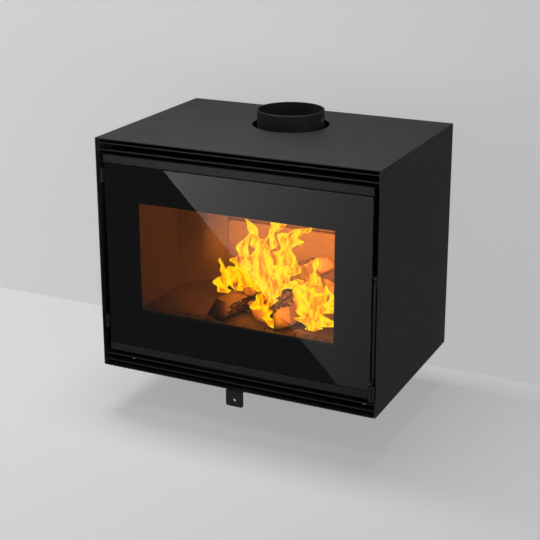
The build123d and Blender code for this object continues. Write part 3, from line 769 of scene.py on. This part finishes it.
def backdrop_paint(name, colour, lift, keeps):
    """Pale matte backdrop whose colour darkens towards the right as painted shade, keeping only a share of
    its brightness there, and is clear from behind.
    The lift brightens only what the camera sees of it, so that it doesn't light the object."""
    material, tree, out = blank(name)
    where = node(tree, "ShaderNodeTexCoord")
    split = node(tree, "ShaderNodeSeparateXYZ")
    wire(where, "Object", split, "Vector")
    span = node(tree, "ShaderNodeMapRange", {"From Min": -FADE_HALF, "From Max": FADE_HALF})
    wire(split, "X", span, "Value")
    # painted shade: the colour darkens from the left to its kept share at the right, standing in for light
    # that falls off across the backdrop
    band = ramp(tree, span.outputs["Result"], [(0.0, shade(colour, 1.0)), (1.0, shade(colour, keeps))])
    ray = tree.nodes.new("ShaderNodeLightPath")
    seen = node(tree, "ShaderNodeMix", data_type="RGBA")
    seen.inputs["A"].default_value = (*shade(colour, LIGHTS_WITH), 1.0)
    wire(ray, "Is Camera Ray", seen, "Factor")
    wire(band, "Color", seen, "B")
    matte = tree.nodes.new("ShaderNodeBsdfDiffuse")
    wire(seen, "Result", matte, "Color")
    glow = tree.nodes.new("ShaderNodeEmission")
    wire(band, "Color", glow, "Color")
    tree.links.new(scaled(tree, ray.outputs["Is Camera Ray"], lift), glow.inputs["Strength"])
    both = tree.nodes.new("ShaderNodeAddShader")
    wire(matte, "BSDF", both, 0)
    wire(glow, "Emission", both, 1)
    clear = tree.nodes.new("ShaderNodeBsdfTransparent")
    side = tree.nodes.new("ShaderNodeNewGeometry")
    pick = tree.nodes.new("ShaderNodeMixShader")
    wire(side, "Backfacing", pick, "Fac")
    wire(both, "Shader", pick, 1)
    wire(clear, "BSDF", pick, 2)
    wire(pick, "Shader", out, "Surface")
    return material


def flame_glow(name):
    """Fire as light: clear at the ragged edge, then red, orange and yellow towards the heart."""
    material, tree, out = blank(name)
    heat = node(tree, "ShaderNodeAttribute", attribute_name="heat")
    lick = noise(tree, place(tree, (1.0, 1.0, 0.42), (0.0, 0.5, 0.0)), 58.0, 3.0, 0.6)
    total = node(tree, "ShaderNodeMath", operation="ADD", use_clamp=True)
    wire(heat, "Fac", total, 0)
    tree.links.new(scaled(tree, lick, 1.5, -0.44), total.inputs[1])
    colour = ramp(tree, total.outputs["Value"], [(0.06, (0.80, 0.04, 0.0)), (0.16, (1.0, 0.22, 0.0)),
                                                 (0.27, (1.0, 0.46, 0.0)), (0.40, (1.0, 0.74, 0.0)),
                                                 (1.0, (1.0, 0.88, 0.02))])
    cover = ramp(tree, total.outputs["Value"], [(0.06, 0.0), (0.16, 1.0)])
    fire = node(tree, "ShaderNodeEmission", {"Strength": 1.15})
    wire(colour, "Color", fire, "Color")
    clear = tree.nodes.new("ShaderNodeBsdfTransparent")
    pick = tree.nodes.new("ShaderNodeMixShader")
    wire(cover, "Color", pick, "Fac")
    wire(clear, "BSDF", pick, 1)
    wire(fire, "Emission", pick, 2)
    wire(pick, "Shader", out, "Surface")
    return material


def bark_skin(name):
    """Bark: dark furrows and pale crests that follow the height of its own bump, along the log's own UV map.
    """
    material, tree, coat = shader(name)
    furrow = noise(tree, place(tree, (9.0, 42.0, 1.0), by="UV"), 1.0, 8.0, 0.7, 0.8)
    band = ramp(tree, furrow, [(0.40, (0.018, 0.009, 0.006)), (0.52, (0.13, 0.075, 0.05)),
                               (0.64, (0.55, 0.38, 0.28))])
    wire(band, "Color", coat, "Base Color")
    coat.inputs["Roughness"].default_value = 0.9
    bump(tree, coat, furrow, 0.006)
    return material


def split_wood(name, turn):
    """Cleft wood: fine straight fibres with a few darker streaks."""
    material, tree, coat = shader(name)
    fibre = noise(tree, place(tree, (90.0, 9.0, 9.0), (0.0, 0.0, turn)), 1.0, 6.0, 0.6)
    tint(tree, coat, fibre, (0.30, 0.15, 0.06), (0.62, 0.38, 0.17))
    coat.inputs["Roughness"].default_value = 0.8
    bump(tree, coat, fibre, 0.0012)
    return material


class INSERT_OT_stack_logs(bpy.types.Operator):
    """Stacks split logs on the firebox floor for the picture. They are fuel and not part of the insert"""

    bl_idname = "insert.stack_logs"
    bl_label = "Stack the logs"

    def execute(self, context):
        floor_z = float(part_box("floor_brick_middle")[1][2])
        bark = bark_skin("bark")
        for name, near, far, radius, roll, wedge, seed in LOGS:
            ends = [seen_at(u, v, y) for u, v, y in (near, far)]
            reach = ends[1] - ends[0]
            length = np.linalg.norm(reach)
            along = reach / length
            across = np.cross([0.0, 0.0, 1.0], along)
            across = across / np.linalg.norm(across)
            wood = split_wood(name + "_wood", math.atan2(along[1], along[0]))
            log = self.log(name, length, radius, math.radians(wedge), math.radians(roll), seed, bark, wood)
            mesh = log.data
            co = np.empty(len(mesh.vertices) * 3, dtype=np.float32)
            mesh.vertices.foreach_get("co", co)
            co = co.reshape(-1, 3) @ np.array([along, across, np.cross(along, across)])
            co += (ends[0] + ends[1]) / 2
            co[:, 2] = np.maximum(co[:, 2], floor_z + 0.0005)
            mesh.vertices.foreach_set("co", co.reshape(-1).astype(np.float32))
            mesh.update()
        return {"FINISHED"}

    def log(self, name, length, radius, wedge, roll, seed, bark, wood):
        """A cleft log along X. Its section goes from the middle out along one split face, round the bark's
        arc and back along the other face. Sums of sines furrow the bark and wave the split faces."""
        rng = np.random.default_rng(seed)
        phase = rng.uniform(0, 2 * np.pi, 8)
        n_face, n_arc, n_len = 10, 40, 60
        a0, a1 = np.pi / 2 - wedge / 2, np.pi / 2 + wedge / 2
        face = np.linspace(0.0, 1.0, n_face, endpoint=False)
        arc = np.linspace(a0, a1, n_arc)
        r = np.concatenate([face, np.ones(n_arc), face[::-1]]) * radius
        angle = np.concatenate([np.full(n_face, a0), arc, np.full(n_face, a1)])
        is_bark = np.concatenate([np.zeros(n_face), np.ones(n_arc), np.zeros(n_face)])
        x = np.linspace(-length / 2, length / 2, n_len)
        xx, ii = np.meshgrid(x, np.arange(len(r)), indexing="ij")
        ang = angle[ii]
        ridge = np.abs(np.sin(11 * ang + 3 * np.sin(30 * xx + phase[0]) + phase[1]))
        ridge += 0.5 * np.abs(np.sin(23 * ang + 2 * np.sin(70 * xx + phase[2]) + phase[3]))
        wave = np.sin(40 * xx + phase[4]) + np.sin(90 * xx + 5 * r[ii] / radius + phase[5])
        reach = r[ii] + is_bark[ii] * radius * 0.07 * (ridge - 0.9) + (1 - is_bark[ii]) * 0.0012 * wave
        taper = 1.0 - 0.06 * (xx / length + 0.5)
        y = reach * np.cos(ang) * taper
        z = (reach * np.sin(ang) - 0.45 * radius) * taper
        c, s = np.cos(roll), np.sin(roll)
        points = np.stack([xx, c * y - s * z, s * y + c * z], axis=-1)
        slant = rng.uniform(-0.25, 0.25, 2)
        points[..., 0] += (points[..., 1] * slant[0] + points[..., 2] * slant[1]) * np.sign(xx)
        near, far = points[:1], points[-1:]
        first, last = (np.repeat(ring.mean(axis=1, keepdims=True), len(r), axis=1) for ring in (near, far))
        rings = [first, 0.5 * (first + near), near, points, far, 0.5 * (last + far), last]
        piece = surface(name, np.concatenate(rings), close_v=True, materials=[wood, bark])
        columns = np.tile(np.append(is_bark[:-1] * is_bark[1:], 0.0), n_len + 5)
        rows = np.repeat(np.arange(n_len + 5), len(r))
        inside = (rows >= 3) & (rows < n_len + 2)
        index = (columns * inside).astype(np.int32)
        piece.data.polygons.foreach_set("material_index", index)
        return piece


class INSERT_OT_light_fire(bpy.types.Operator):
    """Raises flames over the logs for the picture. They are not part of the insert"""

    bl_idname = "insert.light_fire"
    bl_label = "Light the fire"

    def execute(self, context):
        glow = flame_glow("flame")
        for u0, v0, u1, v1, u2, v2, width, depth, seed in FLAMES:
            self.tongue((u0, v0), (u1, v1), (u2, v2), width, depth, seed, glow)
        for i, (at, power) in enumerate(FIRE_LIGHTS):
            lamp = bpy.data.lights.new(f"fire_light_{i}", "POINT")
            lamp.energy, lamp.shadow_soft_size, lamp.color = power, 0.035, EMBER
            hang(lamp, Matrix.Translation(at))
        for name, at, turn, wide, tall, power in FIRE_GLOWS:
            lamp = area_lamp(name, wide, tall, power)
            lamp.color, lamp.spread = EMBER, math.radians(115)
            hang(lamp, Matrix.Translation(at) @ Matrix.Rotation(math.radians(turn), 4, "X"))
        return {"FINISHED"}

    def tongue(self, foot, bend, tip, width, depth, seed, glow):
        """A sheet of flame. Its middle line is a quadratic curve through picture points, laid on a plane
        across the firebox. The width swells, then closes at the tip, and both edges wave on their own."""
        rng = np.random.default_rng(seed)
        p = rng.uniform(0, 2 * np.pi, 6)
        t = np.linspace(0.0, 1.0, 60)[:, None]
        s = np.linspace(-1.0, 1.0, 25)[None, :]
        line = [(1 - t) ** 2 * foot[k] + 2 * t * (1 - t) * bend[k] + t**2 * tip[k] for k in (0, 1)]
        step = [np.gradient(c, axis=0) for c in line]
        size = np.sqrt(step[0] ** 2 + step[1] ** 2)
        swell = np.sin(np.pi * t**0.62) ** 0.7 * (1 - 0.5 * t) * width / 1.45
        left = 1 + 0.45 * np.sin(10 * t + p[0]) + 0.35 * np.sin(23 * t + p[1])
        right = 1 + 0.45 * np.sin(9 * t + p[2]) + 0.35 * np.sin(21 * t + p[3])
        reach = swell * s * np.where(s < 0, left, right)
        u = line[0] + reach * (-step[1] / size) + 2.4 * np.sin(11 * t + p[4]) * t
        v = line[1] + reach * (step[0] / size)
        sheet_y = depth + 0.012 * np.sin(5 * t + 2 * s + p[5]) - 0.01 * s**2
        points = seen_at(u, v, sheet_y)
        heat = (1 - np.abs(s) ** 2.2) * (1 - 0.55 * t**3) * np.clip(t * 12, 0, 1) * 0.95
        return surface(f"flame_{seed}", points, materials=[glow], attributes={"heat": heat})


class INSERT_OT_set_stage(bpy.types.Operator):
    """Sets the floor, the wall, the lamps and the camera for the picture"""

    bl_idname = "insert.set_stage"
    bl_label = "Set the stage"

    def execute(self, context):
        stage = context.scene.insert_stage
        self.backdrop(stage)
        self.lamps()
        self.soft_card()
        self.world(context)
        self.camera(context)
        context.scene.view_settings.view_transform = "Standard"
        return {"FINISHED"}

    def backdrop(self, stage):
        x = np.linspace(-BACKDROP_REACH, BACKDROP_REACH, 3)
        floor = np.stack(np.meshgrid(x, np.array([-BACKDROP_REACH, WALL_Y]), indexing="ij")
                         + [np.full((3, 2), FLOOR_Z)], axis=-1)
        wall = np.stack([np.repeat(x[:, None], 2, axis=1), np.full((3, 2), WALL_Y),
                         np.tile(np.array([FLOOR_Z, WALL_TOP]), (3, 1))], axis=-1)
        for name, points, lift, keeps in (("floor", floor, FLOOR_LIFT, FLOOR_SHADE_KEEPS),
                                          ("wall", wall, WALL_LIFT, WALL_SHADE_KEEPS)):
            paint = backdrop_paint(f"{name}_paint", stage.pale, lift, keeps)
            sheet = surface(f"stage_{name}", points, materials=[paint])
            sheet.visible_glossy = sheet.visible_transmission = False

    def lamps(self):
        for name, at, aim, wide, tall, power, mirrored in LAMPS:
            back = np.array(at) - np.array(aim)
            back = back / np.linalg.norm(back)
            right = np.cross([0.0, 1.0, 0.0] if abs(back[2]) > 0.9 else [0.0, 0.0, 1.0], back)
            right = right / np.linalg.norm(right)
            where = transform(right, np.cross(back, right), back, at)
            hang(area_lamp(name, wide, tall, power), where, mirrored)

    def soft_card(self):
        """The soft light that the door glass mirrors. Each grid point is a picture point on the glass, sent
        outwards as a mirror would. Its glow fades to the right and downwards."""
        face_y = float(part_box("door_glass")[0][1])
        share = np.linspace(0, 1, CARD_GRID)
        s, t = np.meshgrid(share, share, indexing="ij")
        (top_u, top_v), (foot_u, foot_v) = CARD_LEFT
        u, v = top_u + (foot_u - top_u) * s, top_v + (foot_v - top_v) * s
        u = u + (CARD_RIGHT - u) * t
        spot = seen_at(u, v, face_y)
        eye = np.array(CAMERA_AT)
        eye[1] = 2 * face_y - eye[1]
        line = spot - eye
        reach = (CARD_Y - eye[1]) / line[..., 1]
        points = eye + reach[..., None] * line
        level = CARD_GLOW * np.exp(-(u - GLOW_AT) * GLOW_FALL[0] - (v - GLOW_AT) * GLOW_FALL[1])
        material, tree, out = blank("soft_card")
        glow = tree.nodes.new("ShaderNodeEmission")
        shape = node(tree, "ShaderNodeAttribute", attribute_name="glow")
        wire(shape, "Fac", glow, "Strength")
        wire(glow, "Emission", out, "Surface")
        card = surface("stage_card", points, materials=[material], attributes={"glow": level})
        card.visible_camera = card.visible_diffuse = card.visible_shadow = card.visible_transmission = False

    def world(self, context):
        """Pale where the camera sees it, dim where metal and glass mirror it, and between for soft light."""
        world = bpy.data.worlds.new("studio")
        context.scene.world = world
        world.use_nodes = True
        tree = world.node_tree
        tree.nodes.clear()
        out = tree.nodes.new("ShaderNodeOutputWorld")
        ray = tree.nodes.new("ShaderNodeLightPath")
        white = (1.0, 1.0, 1.0, 1.0)
        soft = node(tree, "ShaderNodeBackground", {"Color": white, "Strength": SOFT_SKY})
        dim = node(tree, "ShaderNodeBackground", {"Color": white})
        pale = node(tree, "ShaderNodeBackground", {"Color": SEEN_SKY, "Strength": 1.0})
        first = tree.nodes.new("ShaderNodeMixShader")
        second = tree.nodes.new("ShaderNodeMixShader")
        mirror = node(tree, "ShaderNodeMath", operation="MAXIMUM")
        wire(ray, "Is Glossy Ray", mirror, 0)
        wire(ray, "Is Transmission Ray", mirror, 1)
        wire(mirror, "Value", first, "Fac")
        drop = SKY_THROUGH_GLASS - MIRRORED_SKY
        through = scaled(tree, ray.outputs["Is Transmission Ray"], drop, MIRRORED_SKY)
        tree.links.new(through, dim.inputs["Strength"])
        wire(soft, "Background", first, 1)
        wire(dim, "Background", first, 2)
        wire(ray, "Is Camera Ray", second, "Fac")
        wire(first, "Shader", second, 1)
        wire(pale, "Background", second, 2)
        wire(second, "Shader", out, "Surface")

    def camera(self, context):
        data = bpy.data.cameras.new("camera")
        data.sensor_width = 36.0
        data.lens = FOCAL / PICTURE * data.sensor_width
        data.shift_y = (AXIS_ROW - PICTURE / 2) / PICTURE
        data.clip_start, data.clip_end = 0.05, 60.0
        camera = bpy.data.objects.new("camera", data)
        camera.matrix_world = transform(*camera_axes(), CAMERA_AT)
        context.scene.collection.objects.link(camera)
        context.scene.camera = camera


class INSERT_PT_dresser(bpy.types.Panel):
    bl_idname = "INSERT_PT_dresser"
    bl_label = "Fireplace insert"
    bl_space_type = "VIEW_3D"
    bl_region_type = "UI"
    bl_category = "Insert"

    def draw(self, context):
        for name in GROUPS:
            group = getattr(context.scene, name)
            box = self.layout.box()
            for key in group.bl_rna.properties.keys():
                if key not in ("rna_type", "name"):
                    box.prop(group, key)
        self.layout.prop(context.scene, "insert_collar_radius")
        for step in STEPS:
            self.layout.operator(step.bl_idname)


GROUPS = {
    "insert_coat": CoatSettings, "insert_glass": GlassSettings, "insert_rope": RopeSettings,
    "insert_screw": ScrewSettings, "insert_grip": GripSettings, "insert_brick": BrickSettings,
    "insert_stage": StageSettings,
}
STEPS = (
    INSERT_OT_paint_steel, INSERT_OT_line_firebox, INSERT_OT_glaze_door, INSERT_OT_braid_rope,
    INSERT_OT_drive_screws, INSERT_OT_turn_grip, INSERT_OT_weld_seams, INSERT_OT_stack_logs,
    INSERT_OT_light_fire, INSERT_OT_set_stage,
)


def register():
    for kind in (*GROUPS.values(), *STEPS, INSERT_PT_dresser):
        bpy.utils.register_class(kind)
    for name, kind in GROUPS.items():
        setattr(bpy.types.Scene, name, PointerProperty(type=kind))
    bpy.types.Scene.insert_collar_radius = FloatProperty(
        name="Collar radius", description="Outside radius of the flue collar", default=0.075, unit="LENGTH")


def unregister():
    del bpy.types.Scene.insert_collar_radius
    for name in GROUPS:
        delattr(bpy.types.Scene, name)
    for kind in reversed((*GROUPS.values(), *STEPS, INSERT_PT_dresser)):
        bpy.utils.unregister_class(kind)


def main():
    register()
    for step in (bpy.ops.insert.paint_steel, bpy.ops.insert.line_firebox, bpy.ops.insert.glaze_door,
                 bpy.ops.insert.braid_rope, bpy.ops.insert.drive_screws, bpy.ops.insert.turn_grip,
                 bpy.ops.insert.weld_seams):
        step()
    if bpy.context.scene.insert_stage.lit:
        bpy.ops.insert.stack_logs()
        bpy.ops.insert.light_fire()
    bpy.ops.insert.set_stage()


if __name__ == "__main__":
    main()
